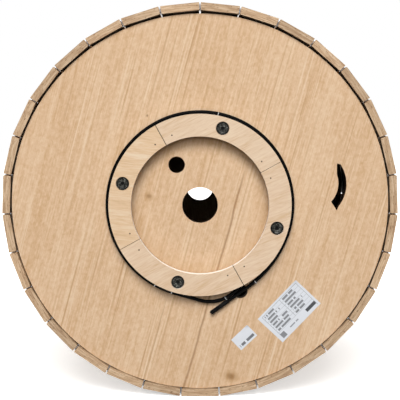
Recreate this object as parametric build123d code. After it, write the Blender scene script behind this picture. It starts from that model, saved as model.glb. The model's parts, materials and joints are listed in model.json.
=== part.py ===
from build123d import *
import math
import os

# Wooden cable drum, full of cable and closed with wire-bound lagging slats.
# It stands on its rim: +Z is up, the drum's axis runs along Y and its front looks along -Y.
# The origin is on the floor, under the middle of the drum.

# Flanges
flange_diameter = 800.0
flange_thickness = 18.0
traverse = 500.0
arbor_bore_diameter = 76.0
drive_hole_diameter = 35.0
drive_hole_radius = 99.0
drive_hole_angle = -30.0
back_drive_hole_angle = 60.0

# Sawn slot in the front flange for the cable's outer end, just over the winding
slot_width = 32.0
slot_length = 100.0
slot_rise = 7.3
slot_angle = 82.56

# Hole in the front flange for the cable's inner end, just outside the ring
exit_hole_diameter = 28.0
exit_hole_offset = 10.1
exit_hole_angle = 155.0

# Ring of four segments on each flange
ring_outer_diameter = 385.0
ring_width = 47.0
ring_thickness = 20.0
ring_joint_gaps = (0.8, 1.4)
ring_joint_angle = 61.2
segment_count = 4

# Bolts through the barrel, with round socket heads at the front and sleeve nuts at the back
bolt_angle = 16.2
bolt_diameter = 10.0
bolt_hole_diameter = 11.0
head_diameter = 26.4
head_thickness = 4.0
socket_width = 8.0
socket_depth = 3.0
collar_diameter = 17.0
collar_groove_width = 1.4
collar_groove_depth = 0.8
counterbore_diameter = 28.4
counterbore_depth = 5.5
nut_sleeve_diameter = 14.0
nut_hole_diameter = 14.6
thread_clearance = 0.1

# Barrel of planed staves round the bolts, set in a groove in each flange
stave_bolt_gap = 5.5
stave_thickness = 10.0
stave_count = 24
stave_gap = 0.5
stave_groove_depth = 5.0
stave_clearance = 0.2

# Wound cable
winding_depth = 100.0
winding_end_clearance = 0.6
winding_bore_clearance = 0.3
shown_layer_count = 2

# Lagging slats round the flanges, in a hoop that is a little slack: the drum rests in its foot
slat_count = 31
slat_gap = 3.6
slat_thickness = 16.0
slat_overhang = 6.0
slat_seat_gap = 0.2
slat_edge_break = 0.8
hoop_slack = 4.0

# Wires that bind the slats
wire_diameter = 2.0
wire_pitch = 2.8
wire_groove_width = 2.3
wire_groove_depth = 2.2
wire_clearance = 0.1
wire_sides = 6

# Inner cable end, on the front flange
cable_diameter = 7.6
cable_sides = 12
cable_clearance = 0.3
cable_lift = 0.9
cable_exit_bend = 14.0
cable_slack_bend = 75.0
cable_leaving_bend = 240.0
cable_ring_start_angle = 196.0
cable_ring_end_angle = 114.2
tail_angle = 144.2
tail_length = 88.0
tail_spacing = 7.9
cap_diameter = 9.2
cap_length = 46.0
cap_cover = 38.0
cap_edge_break = 2.0
cap_clearance = 0.1

# Outline of the sawn slot, as shares of its width and its length from its middle
slot_top_left_shares = (-0.152, 0.5)
slot_top_right_shares = (0.078, 0.483)
slot_bulge_shares = (0.5, 0.064)
slot_heel_shares = (0.003, -0.411)
slot_tip_shares = (-0.118, -0.5)
slot_corner_shares = (-0.5, -0.312)
slot_waist_shares = (-0.037, 0.079)
slot_shoulder_shares = (-0.152, 0.272)

# Worked out from the sizes above
flange_radius = flange_diameter / 2
inner_face = traverse / 2
outer_face = inner_face + flange_thickness
ring_radius = ring_outer_diameter / 2
bolt_circle_radius = ring_radius - ring_width / 2
stave_inner = bolt_circle_radius + bolt_hole_diameter / 2 + stave_bolt_gap
barrel_radius = stave_inner + stave_thickness
barrel_diameter = 2 * barrel_radius
winding_radius = barrel_radius + winding_depth
exit_hole_radius = ring_radius + exit_hole_offset
hoop_rise = hoop_slack / 2
slat_inner = flange_radius + slat_seat_gap + hoop_rise
slat_outer = slat_inner + slat_thickness
half_slat = 180 / slat_count
slat_length = 2 * (outer_face + slat_overhang)
axis_height = slat_outer - hoop_rise
wire_radius = wire_diameter / 2
cable_radius = cable_diameter / 2

# The drum is drawn about its own axis: x to the right, y up and z towards the front
drum = Plane(origin=(0, 0, axis_height), x_dir=(1, 0, 0), z_dir=(0, -1, 0)).location
# The hoop of slats is slack over the drum and touches it at the floor
hoop = Pos(0, hoop_rise, 0)


def at_angle(radius, angle):
    """Point at a radius from the axis, its angle clockwise from the top as seen from the front."""
    turn = math.radians(angle)
    return Vector(radius * math.sin(turn), radius * math.cos(turn))


def along(angle):
    """Direction of clockwise travel round the axis at an angle."""
    turn = math.radians(angle)
    return Vector(math.cos(turn), -math.sin(turn))


def disc(diameter, bottom, top):
    """Round plate between two heights on the axis."""
    return Pos(0, 0, bottom) * extrude(Circle(diameter / 2), top - bottom)


def hole(diameter, centre, bottom, top):
    """Round plug at a place away from the axis, to cut a hole with."""
    return Pos(centre.X, centre.Y, 0) * disc(diameter, bottom, top)


def bolt_places():
    """Centre of each bolt."""
    return [at_angle(bolt_circle_radius, bolt_angle + 360 / segment_count * index)
            for index in range(segment_count)]


def flange_disc(drive_angle):
    """Front flange with the holes and the stave groove that both flanges have."""
    plate = disc(flange_diameter, inner_face, outer_face)
    plate -= disc(arbor_bore_diameter, inner_face, outer_face)
    drive_place = at_angle(drive_hole_radius, drive_angle)
    plate -= hole(drive_hole_diameter, drive_place, inner_face, outer_face)
    for place in bolt_places():
        plate -= hole(bolt_hole_diameter, place, inner_face, outer_face)
    groove_outer = barrel_diameter + 2 * stave_clearance
    groove_inner = 2 * (stave_inner - stave_clearance)
    groove = disc(groove_outer, inner_face, inner_face + stave_groove_depth)
    groove -= disc(groove_inner, inner_face, inner_face + stave_groove_depth)
    return plate - groove


def slot_point(shares):
    """Point of the sawn slot's outline."""
    middle = at_angle(winding_radius + slot_rise, slot_angle)
    return middle + Vector(shares[0] * slot_width, shares[1] * slot_length)


def sawn_slot():
    """Plug in the shape of the hand-sawn slot."""
    top_left = slot_point(slot_top_left_shares)
    top_right = slot_point(slot_top_right_shares)
    heel = slot_point(slot_heel_shares)
    tip = slot_point(slot_tip_shares)
    corner = slot_point(slot_corner_shares)
    shoulder = slot_point(slot_shoulder_shares)
    outline = [
        ThreePointArc(top_right, slot_point(slot_bulge_shares), heel),
        Line(heel, tip),
        Line(tip, corner),
        ThreePointArc(corner, slot_point(slot_waist_shares), shoulder),
        Line(shoulder, top_left),
        Line(top_left, top_right),
    ]
    return Pos(0, 0, inner_face) * extrude(make_face(outline), flange_thickness)


def ring_segments(shank_hole_diameter):
    """The four segments of the front ring, drilled and counterbored for the bolts."""
    top = outer_face + ring_thickness
    bore = disc(ring_outer_diameter - 2 * ring_width, outer_face, top)
    ring = disc(ring_outer_diameter, outer_face, top) - bore
    for place in bolt_places():
        ring -= hole(shank_hole_diameter, place, outer_face, top)
        ring -= hole(counterbore_diameter, place, top - counterbore_depth, top)
    for quarter, gap in enumerate(ring_joint_gaps):
        turn = ring_joint_angle + 360 / segment_count * quarter
        kerf = Box(gap, 2 * ring_outer_diameter, 2 * top)
        ring -= Rot(0, 0, -turn) * kerf
    pieces = []
    for index in range(segment_count):
        middle = at_angle(bolt_circle_radius, bolt_angle + 360 / segment_count * index)
        pieces.append(min(ring.solids(), key=lambda piece: flat_distance(piece, middle)))
    return pieces


def flat_distance(piece, place):
    """Distance of a piece's middle from a place, seen along the axis."""
    middle = piece.center()
    return math.hypot(middle.X - place.X, middle.Y - place.Y)


def socket_head(seat):
    """Round head on its seat, with a hexagon socket."""
    top = seat + head_thickness
    socket = extrude(RegularPolygon(socket_width / 2, 6, major_radius=False), -socket_depth)
    return disc(head_diameter, seat, top) - Pos(0, 0, top) * socket


def bolt_head(seat):
    """Socket head with the collar groove of a bolt."""
    top = seat + head_thickness
    groove = disc(collar_diameter, top - collar_groove_depth, top)
    groove -= disc(collar_diameter - 2 * collar_groove_width, top - collar_groove_depth, top)
    return socket_head(seat) - groove


def through_bolt():
    """Bolt on the axis: head in the front ring, shank as far as the back nut's head."""
    seat = outer_face + ring_thickness - counterbore_depth
    return bolt_head(seat) + disc(bolt_diameter, -seat, seat)


def sleeve_nut():
    """Nut on the axis, drawn at the front: its sleeve reaches through the ring to the flange."""
    seat = outer_face + ring_thickness - counterbore_depth
    sleeve = disc(nut_sleeve_diameter, outer_face, seat)
    sleeve -= disc(bolt_diameter + 2 * thread_clearance, outer_face, seat)
    return socket_head(seat) + sleeve


def barrel_staves():
    """Planed staves standing round the bolts, their ends in the flanges' grooves."""
    end = inner_face + stave_groove_depth - stave_clearance
    barrel = disc(barrel_diameter, -end, end) - disc(2 * stave_inner, -end, end)
    for index in range(stave_count // 2):
        joint = Box(stave_gap, 2 * barrel_diameter, 2 * slat_length)
        barrel -= Rot(0, 0, 360 / stave_count * index) * joint
    return barrel


def cable_winding():
    """Wound cable as one turned solid, with its last layers showing as ridges on its ends."""
    end = inner_face - winding_end_clearance
    corner = (winding_radius, end - cable_radius)
    profile = [(barrel_radius + winding_bore_clearance, 0), (winding_radius, 0), corner]
    for layer in range(shown_layer_count):
        top = winding_radius - cable_radius - cable_diameter * layer
        profile += [(top, end), (top - cable_radius, end - cable_radius)]
    profile += [(profile[-1][0] - cable_radius, end), (profile[0][0], end)]
    half = revolve(Plane.XZ * make_face(Polyline(*profile, close=True)), Axis.Z)
    return half + back_of(half)


def slat_angle(index):
    """Angle of a slat's middle: the first lies flat on the floor."""
    return 180 + 2 * half_slat * index


def wire_strands():
    """Place along the axis of each strand: whether it is over the first slat, then its height."""
    row = inner_face + flange_thickness / 2
    return {
        "front": [(True, row + wire_pitch / 2), (False, row - wire_pitch / 2)],
        "back": [(True, -row - wire_pitch / 2), (False, -row + wire_pitch / 2)],
    }


def slat_edge(radius):
    """Half of a slat's width at a height: its sides leave the same gap all the way out."""
    turn = math.radians(half_slat)
    return radius * math.tan(turn) - slat_gap / 2 / math.cos(turn)


def lagging_slat(index):
    """Bevelled slat with eased edges and a groove for each strand that lies over or under it."""
    inner = slat_edge(slat_inner)
    outer = slat_edge(slat_outer)
    outline = Polyline((-inner, slat_inner), (inner, slat_inner), (outer, slat_outer),
                       (-outer, slat_outer), close=True)
    slat = extrude(make_face(outline), slat_length / 2, both=True)
    slat = chamfer(slat.edges().filter_by(Axis.Z), slat_edge_break)
    groove = Box(2 * outer, wire_groove_depth, wire_groove_width)
    for strands in wire_strands().values():
        for over_first, height in strands:
            over = over_first == (index % 2 == 0)
            middle = slat_outer - wire_groove_depth / 2 if over else slat_inner + wire_groove_depth / 2
            slat -= Pos(0, middle, height) * groove
    return hoop * Rot(0, 0, -slat_angle(index)) * slat


def strand_corners(over_first):
    """Corners of one strand: it lies over and under the slats in turn and crosses in their gaps."""
    over = slat_outer - wire_radius - wire_clearance
    under = slat_inner + wire_radius + wire_clearance
    corners = []
    for index in range(slat_count):
        before = over if (index % 2 == 0) == over_first else under
        following = (index + 1) % slat_count
        after = over if (following % 2 == 0) == over_first else under
        gap_angle = slat_angle(index) + half_slat
        reach = math.cos(math.radians(half_slat))
        corners.append(at_angle(before / reach, gap_angle))
        if after != before:
            corners.append(at_angle(after / reach, gap_angle))
    return corners


def binding_strand(over_first, height):
    """One closed strand of wire, its section mitred at each corner."""
    corners = strand_corners(over_first)
    count = len(corners)
    rings = []
    for index, corner in enumerate(corners):
        arriving = (corner - corners[index - 1]).normalized()
        leaving = (corners[(index + 1) % count] - corner).normalized()
        normal_in = Vector(arriving.Y, -arriving.X)
        normal_out = Vector(leaving.Y, -leaving.X)
        mitre = (normal_in + normal_out) * (1 / (1 + normal_in.dot(normal_out)))
        ring = []
        for side in range(wire_sides):
            turn = math.radians(360 * (side + 0.5) / wire_sides)
            point = corner + mitre * (wire_radius * math.cos(turn))
            ring.append(point + Vector(0, 0, height + wire_radius * math.sin(turn)))
        rings.append(ring)
    faces = []
    for index, ring in enumerate(rings):
        following = rings[(index + 1) % count]
        for side in range(wire_sides):
            other = (side + 1) % wire_sides
            outline = Polyline(ring[side], ring[other], following[other], following[side], close=True)
            faces.append(Face(Wire(outline.edges())))
    return Solid(Shell(faces))


def cable_route():
    """Centre line of the inner cable end, from the winding to the tail's end."""
    height = outer_face + cable_radius + cable_lift
    level = Vector(0, 0, height)
    loop_radius = ring_radius + cable_radius + cable_clearance
    heading = along(tail_angle)
    outward = at_angle(1, tail_angle)
    # The tail leaves the ring on a wider bend
    leave_angle = tail_angle - cable_ring_end_angle
    drift = (cable_leaving_bend - loop_radius) * (1 - math.cos(math.radians(leave_angle)))
    leave_centre = at_angle(loop_radius - cable_leaving_bend, cable_ring_end_angle)
    tail_start = leave_centre + at_angle(cable_leaving_bend, tail_angle)
    # The cable comes out of its hole beside the tail
    hole_centre = at_angle(exit_hole_radius, exit_hole_angle)
    beside = outward * (loop_radius + drift - tail_spacing)
    past = hole_centre.dot(heading)
    rise = beside + heading * (past - exit_hole_diameter / 2 + cable_radius * 2)
    flat_start = rise + heading * cable_exit_bend
    # It runs out past the ring's foot and back to it
    ring_start = at_angle(loop_radius, cable_ring_start_angle)
    back = along(cable_ring_start_angle) * -1
    turn = cable_ring_start_angle - tail_angle
    reach = (ring_start - flat_start).dot(at_angle(1, cable_ring_start_angle))
    corner = flat_start + heading * (reach / math.sin(math.radians(turn)))
    trim = cable_slack_bend * math.tan(math.radians(turn / 2))
    slack_start = corner - heading * trim
    slack_end = corner - back * trim
    bottom = Vector(rise.X, rise.Y, inner_face - winding_end_clearance)
    lift = Vector(rise.X, rise.Y, height - cable_exit_bend)
    loop_sweep = 360 - cable_ring_start_angle + cable_ring_end_angle
    loop_middle = at_angle(loop_radius, cable_ring_start_angle + loop_sweep / 2)
    loop_end = at_angle(loop_radius, cable_ring_end_angle)
    tail_end = tail_start + heading * tail_length
    edges = [
        Line(bottom, lift),
        TangentArc(lift, flat_start + level, tangent=(0, 0, 1)),
        Line(flat_start + level, slack_start + level),
        TangentArc(slack_start + level, slack_end + level, tangent=heading),
        Line(slack_end + level, ring_start + level),
        ThreePointArc(ring_start + level, loop_middle + level, loop_end + level),
        TangentArc(loop_end + level, tail_start + level, tangent=along(cable_ring_end_angle)),
        Line(tail_start + level, tail_end + level),
    ]
    return Wire(edges), tail_end + level, heading


def cable_end():
    """Inner cable end as one solid, round enough for its size."""
    route, end, heading = cable_route()
    section = Plane(origin=route @ 0, z_dir=route % 0) * RegularPolygon(cable_radius, cable_sides)
    return sweep(section, path=route)


def cable_end_cap():
    """Shrunk cap over the tail's end."""
    route, end, heading = cable_route()
    cap = extrude(RegularPolygon(cap_diameter / 2, cable_sides), cap_length)
    cap = chamfer(cap.faces().sort_by(Axis.Z)[-1].edges(), cap_edge_break)
    cap -= extrude(RegularPolygon(cable_radius + cap_clearance, cable_sides), cap_cover + cap_clearance)
    return Plane(origin=end - heading * cap_cover, z_dir=heading).location * cap


def save(shape, name):
    """Place a piece in the drum's frame on the floor and write it."""
    export_step(drum * shape, "parts/" + name + ".step")


def back_of(shape):
    """A front piece, turned into its partner on the back."""
    return mirror(shape, about=Plane.XY)


os.makedirs("parts", exist_ok=True)

exit_place = at_angle(exit_hole_radius, exit_hole_angle)
exit_hole = hole(exit_hole_diameter, exit_place, inner_face, outer_face)
save(flange_disc(drive_hole_angle) - exit_hole - sawn_slot(), "flange_front")
save(back_of(flange_disc(back_drive_hole_angle)), "flange_back")

for number, piece in enumerate(ring_segments(bolt_hole_diameter), 1):
    save(piece, f"ring_segment_front_{number}")
for number, piece in enumerate(ring_segments(nut_hole_diameter), 1):
    save(back_of(piece), f"ring_segment_back_{number}")

for number, place in enumerate(bolt_places(), 1):
    save(Pos(place.X, place.Y, 0) * through_bolt(), f"through_bolt_{number}")
    save(Pos(place.X, place.Y, 0) * back_of(sleeve_nut()), f"sleeve_nut_{number}")

save(barrel_staves(), "barrel_staves")
save(cable_winding(), "cable_winding")

for number in range(slat_count):
    save(lagging_slat(number), f"lagging_slat_{number + 1:02d}")

for row_name, strands in wire_strands().items():
    loops = [binding_strand(over_first, height) for over_first, height in strands]
    save(hoop * Compound(loops), f"binding_wire_{row_name}")

save(cable_end(), "cable_end")
save(cable_end_cap(), "cable_end_cap")
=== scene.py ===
"""Dresses a full wooden cable drum and sets it in a plain studio.

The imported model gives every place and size, in metres. +Z is up, the drum's axis runs along Y and its
front looks along -Y. Angles round the axis are in degrees, clockwise from the top as seen from the front.
"""

from __future__ import annotations

import json
import logging
import math
from collections.abc import Mapping, Sequence
from dataclasses import dataclass, field
from enum import Enum

import bmesh
import bpy
from mathutils import Matrix, Vector

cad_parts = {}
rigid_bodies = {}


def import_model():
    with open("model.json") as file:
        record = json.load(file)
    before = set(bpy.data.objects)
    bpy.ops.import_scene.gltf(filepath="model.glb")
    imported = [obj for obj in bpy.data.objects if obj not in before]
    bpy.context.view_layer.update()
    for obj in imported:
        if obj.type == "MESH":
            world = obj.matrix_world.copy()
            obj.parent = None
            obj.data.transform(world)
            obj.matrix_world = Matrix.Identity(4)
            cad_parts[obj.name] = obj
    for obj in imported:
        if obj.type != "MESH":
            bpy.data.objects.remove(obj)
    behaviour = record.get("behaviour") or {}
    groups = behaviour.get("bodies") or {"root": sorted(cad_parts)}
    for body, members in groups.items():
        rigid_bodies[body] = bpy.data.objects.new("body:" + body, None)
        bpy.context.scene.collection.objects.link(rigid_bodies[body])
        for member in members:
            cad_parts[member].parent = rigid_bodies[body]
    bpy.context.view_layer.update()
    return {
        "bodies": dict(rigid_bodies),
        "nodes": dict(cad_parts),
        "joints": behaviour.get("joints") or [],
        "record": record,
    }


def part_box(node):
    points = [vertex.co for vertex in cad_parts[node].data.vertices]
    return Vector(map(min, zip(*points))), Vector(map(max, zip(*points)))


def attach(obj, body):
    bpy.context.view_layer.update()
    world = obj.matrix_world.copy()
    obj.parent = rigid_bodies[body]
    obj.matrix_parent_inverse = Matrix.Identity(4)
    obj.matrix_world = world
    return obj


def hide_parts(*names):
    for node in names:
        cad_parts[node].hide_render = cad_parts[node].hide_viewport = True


LOG = logging.getLogger("cable_drum")
MM = 0.001
BODY = "root"

# What is left of a place when its depth along the drum's axis is taken away
ACROSS_AXIS = (1.0, 0.0, 1.0)

# A streak in wood runs this many of its widths into the board, and its finer steps have this weight
STREAK_DEPTH, STREAK_ROUGH = 30, 0.6

Tree, Node, Socket = bpy.types.NodeTree, bpy.types.Node, bpy.types.NodeSocket
Piece, Mesh, Material = bpy.types.Object, bpy.types.Mesh, bpy.types.Material

# Blender's names for the nodes that are used most
MATH, VECTOR, RANGE, MIX = "ShaderNodeMath", "ShaderNodeVectorMath", "ShaderNodeMapRange", "ShaderNodeMix"
RAMP, NOISE, CHANCE = "ShaderNodeValToRGB", "ShaderNodeTexNoise", "ShaderNodeTexWhiteNoise"
MAPPING, AXES, POINT = "ShaderNodeMapping", "ShaderNodeSeparateXYZ", "ShaderNodeCombineXYZ"
COORDINATES, FACES, BUMP = "ShaderNodeTexCoord", "ShaderNodeNewGeometry", "ShaderNodeBump"


class Slot(Enum):
    """Names of two of the record's material slots; nothing in the script uses them."""

    WIRE = "wire_steel"
    CABLE = "cable_jacket"


class Side(Enum):
    """The drum's two ends, as the sign of Y."""

    FRONT = -1
    BACK = 1


class Fade(Enum):
    """How a share changes from one limit to the other."""

    EVEN = "LINEAR"
    SOFT = "SMOOTHSTEP"


class Size(Enum):
    """Kinds of input that a geometry tree takes."""

    LENGTH = "NodeSocketFloat"
    COUNT = "NodeSocketInt"
    FINISH = "NodeSocketMaterial"
    GEOMETRY = "NodeSocketGeometry"


def linear(colour: str) -> tuple[float, ...]:
    """Turns an sRGB hex value such as "#DEBE9B" into linear red, green, blue and alpha."""
    shares = [int(colour[place:place + 2], 16) / 255 for place in (1, 3, 5)]
    return tuple(c / 12.92 if c <= 0.04045 else ((c + 0.055) / 1.055) ** 2.4 for c in shares) + (1.0,)


def add(tree: Tree, kind: str, links: Mapping | Sequence = (), stops: Sequence[tuple[float, str]] = (),
        **settings: object) -> Node:
    """Adds one node to a shader or geometry tree.

    Args:
        tree: Tree that gets the node.
        kind: Blender's name for the node.
        links: Value, hex colour, output socket or node for each input, in order or by the input's name or
            number. A node gives its first output in use.
        stops: Places and hex colours of a colour ramp.
        settings: The node's own properties.

    Returns:
        The new node.
    """
    made = tree.nodes.new(kind)
    for name, value in settings.items():
        setattr(made, name, value)
    for key, value in links.items() if isinstance(links, Mapping) else enumerate(links):
        if isinstance(value, Node):
            value = next(socket for socket in value.outputs if socket.enabled)
        if isinstance(value, Socket):
            tree.links.new(value, made.inputs[key])
        else:
            is_colour = isinstance(value, str) and value.startswith("#")
            made.inputs[key].default_value = linear(value) if is_colour else value
    for number, (place, colour) in enumerate(stops):
        ramp = made.color_ramp.elements
        stop = ramp[number] if number < 2 else ramp.new(place)
        stop.position = place
        stop.color = linear(colour)
    return made


def on_circle(radius: float, angle: float, depth: float, height: float) -> Vector:
    """Finds the point at a radius and an angle round an axis that runs along Y at a height."""
    turn = math.radians(angle)
    return Vector((radius * math.sin(turn), depth, height + radius * math.cos(turn)))


def keep(name: str, mesh: Mesh) -> Piece:
    """Makes an object of a mesh that is already in its place.

    Args:
        name: Name of the piece.
        mesh: Its mesh.

    Returns:
        The object, linked to the scene.
    """
    piece = bpy.data.objects.new(name, mesh)
    bpy.context.scene.collection.objects.link(piece)
    return piece


def points_mesh(name: str, points: Sequence[Vector], loops: Sequence[int] = ()) -> Mesh:
    """Makes a mesh of points, or of closed loops of edges, for a geometry tree to start from.

    Args:
        name: Name of the mesh.
        points: The points, loop after loop.
        loops: Number of points in each closed loop; none leaves the points loose.

    Returns:
        The mesh.
    """
    edges = []
    first = 0
    for count in loops:
        edges += [(first + step, first + (step + 1) % count) for step in range(count)]
        first += count
    mesh = bpy.data.meshes.new(name)
    mesh.from_pydata(points, edges, [])
    return mesh


def open_tree(name: str, sizes: Mapping[str, Size]) -> tuple[Tree, Node]:
    """Starts a geometry tree.

    Args:
        name: Name of the tree.
        sizes: Name and kind of each input after the geometry.

    Returns:
        The tree and its input node.
    """
    tree = bpy.data.node_groups.new(name, "GeometryNodeTree")
    tree.interface.new_socket("Geometry", in_out="INPUT", socket_type=Size.GEOMETRY.value)
    for size, kind in sizes.items():
        tree.interface.new_socket(size, in_out="INPUT", socket_type=kind.value)
    tree.interface.new_socket("Geometry", in_out="OUTPUT", socket_type=Size.GEOMETRY.value)
    return tree, add(tree, "NodeGroupInput")


def close_tree(tree: Tree, shape: Node, finish: Socket) -> None:
    """Ends a geometry tree: instances are made real and take their finish.

    Args:
        tree: The tree.
        shape: Node with its finished geometry.
        finish: The material input.
    """
    smooth = add(tree, "GeometryNodeSetShadeSmooth", {"Geometry": shape})
    real = add(tree, "GeometryNodeRealizeInstances", {"Geometry": smooth})
    dressed = add(tree, "GeometryNodeSetMaterial", {"Geometry": real, "Material": finish})
    add(tree, "NodeGroupOutput", {"Geometry": dressed})


def grow(name: str, tree: Tree, source: Mesh, sizes: Mapping[str, object]) -> Piece:
    """Runs a geometry tree once and keeps its result as a plain mesh.

    Args:
        name: Name of the piece.
        tree: The geometry tree.
        source: Mesh that the tree starts from.
        sizes: Value of each named input.

    Returns:
        The piece, with no modifier.
    """
    carrier = keep(name + "_source", source)
    modifier = carrier.modifiers.new("tree", "NODES")
    modifier.node_group = tree
    for item in tree.interface.items_tree:
        if item.in_out == "INPUT" and item.name in sizes:
            modifier[item.identifier] = sizes[item.name]
    shown = carrier.evaluated_get(bpy.context.evaluated_depsgraph_get())
    mesh = bpy.data.meshes.new_from_object(shown)
    mesh.name = name
    bpy.data.objects.remove(carrier)
    shell = bmesh.new()
    shell.from_mesh(mesh)
    bmesh.ops.recalc_face_normals(shell, faces=shell.faces)
    shell.to_mesh(mesh)
    shell.free()
    return keep(name, mesh)


def ride(piece: Piece, nodes: Sequence[str] = ()) -> None:
    """Hands a finished piece to the frame.

    Args:
        piece: The piece.
        nodes: CAD nodes that it stands for.
    """
    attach(piece, BODY)
    if nodes:
        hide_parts(*nodes)
    LOG.info("%s: %d faces", piece.name, len(piece.data.polygons))


# ------------------------------------------------------------------------------------------- finishes


@dataclass(frozen=True)
class Finish:
    """A finish with its own material."""

    name: str

    def build(self) -> Material:
        """Builds the material.

        Returns:
            The material, with its surface drawn.
        """
        material = bpy.data.materials.new(self.name)
        material.use_nodes = True
        tree = material.node_tree
        tree.nodes.clear()
        shader = add(tree, "ShaderNodeBsdfPrincipled", self.surface(tree))
        add(tree, "ShaderNodeOutputMaterial", {"Surface": shader})
        return material

    def surface(self, tree: Tree) -> dict[str, object]:
        """Draws the surface, each finish in its own way, for the shader's inputs that it sets."""
        raise NotImplementedError(self.name)

    def end_on(self, tree: Tree) -> Node:
        """Tells how squarely each face looks along the drum's axis, from 0 to 1."""
        normal = add(tree, AXES, {"Vector": add(tree, FACES).outputs["Normal"]})
        return add(tree, MATH, (normal.outputs["Y"],), operation="ABSOLUTE")

    def outward(self, tree: Tree, place: Socket, height: float) -> tuple[Node, Node]:
        """Finds the way out from the drum's axis, and how far each face looks that way.

        Args:
            tree: The material's tree.
            place: Coordinates in metres.
            height: Height of the axis over the floor.

        Returns:
            The way out, as a vector of length 1, and how far the face looks along it, from -1 to 1.
        """
        off = add(tree, VECTOR, (place, ACROSS_AXIS, (0.0, 0.0, -height)), operation="MULTIPLY_ADD")
        out = add(tree, VECTOR, (off,), operation="NORMALIZE")
        normal = add(tree, FACES).outputs["Normal"]
        return out, add(tree, VECTOR, (out, normal), operation="DOT_PRODUCT")

    def pattern(self, tree: Tree, place: Socket, size: tuple[float, ...], detail: float, waver: float = 0.0,
                rough: float = 0.5, start: tuple[float, ...] = (0.0, 0.0, 0.0), lean: float = 0.0) -> Node:
        """Draws clouds or streaks of a real size.

        Args:
            tree: The material's tree.
            place: Coordinates in metres.
            size: Real size of a cloud along X, Y and Z.
            detail: Finer steps in it.
            waver: How far it wanders.
            rough: Weight of the finer steps.
            start: Where the pattern is centred.
            lean: Degrees that it is turned about the drum's axis.

        Returns:
            Node with values about 0.5.
        """
        grain = add(tree, MAPPING, {
            "Vector": place, "Location": start, "Rotation": (0.0, math.radians(lean), 0.0), "Scale": size,
        }, vector_type="TEXTURE")
        return add(tree, NOISE, {
            "Vector": grain, "Scale": 1.0, "Detail": detail, "Roughness": rough, "Distortion": waver,
        })

    def tone(self, tree: Tree, parts: Sequence[tuple[Node, float]]) -> Node:
        """Adds patterns up, each by its share.

        Args:
            tree: The material's tree.
            parts: Patterns and their shares.

        Returns:
            Node with the sum.
        """
        total = 0.0
        for pattern, share in parts:
            total = add(tree, MATH, (pattern, share, total), operation="MULTIPLY_ADD")
        return total

    def stain(self, tree: Tree, colour: Node | str, paint: Node | str, value: Node,
              limits: tuple[float, float], shares: tuple[float, float] = (0.0, 1.0),
              within: Node | None = None, fade: Fade = Fade.EVEN) -> Node:
        """Lays a paint over a colour, by a share that follows a value.

        Args:
            tree: The material's tree.
            colour: Colour under the paint.
            paint: Colour of the paint.
            value: What the share follows.
            limits: The value where the share starts to change and where it stops.
            shares: The paint's shares at the two limits.
            within: Mask that holds the paint in, if there is one.
            fade: How the share changes.

        Returns:
            Node with the stained colour.
        """
        share = add(tree, RANGE, {
            "Value": value, "From Min": limits[0], "From Max": limits[1],
            "To Min": shares[0], "To Max": shares[1],
        }, interpolation_type=fade.value)
        if within is not None:
            share = add(tree, MATH, (share, within), operation="MULTIPLY")
        return add(tree, MIX, {0: share, 6: colour, 7: paint}, data_type="RGBA")


@dataclass(frozen=True)
class WoodFinish(Finish):
    """A wood whose grain runs in one direction in the plane of a flange."""

    height: float
    lean: float
    dark: str
    middle: str
    pale: str
    shift: float

    def streaks(self, tree: Tree, place: Socket, width: float, length: float, detail: float,
                waver: float) -> Node:
        """Draws streaks of a real width and length along the grain, as pattern does."""
        return self.pattern(tree, place, (width, STREAK_DEPTH * width, length), detail, waver, STREAK_ROUGH,
                            (0.0, self.shift, self.height), self.lean)


@dataclass(frozen=True)
class Knot:
    """A small knot, fleck or stain on a veneer, or a disc of painted shade, placed from the drum's axis."""

    across: float
    up: float
    width: float
    length: float
    strength: float
    core: float = 0.15
    rim: float = 0.75
    colour: str = "#6B4A2C"
    through: float = 1000.0


@dataclass(frozen=True)
class Seam:
    """A dark joint line in a veneer, along the grain, that fades out at its top."""

    across: float
    top: float
    width: float
    strength: float
    fade: float = 70 * MM
    wander: float = 9 * MM
    colour: str = "#8A5E34"


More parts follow.
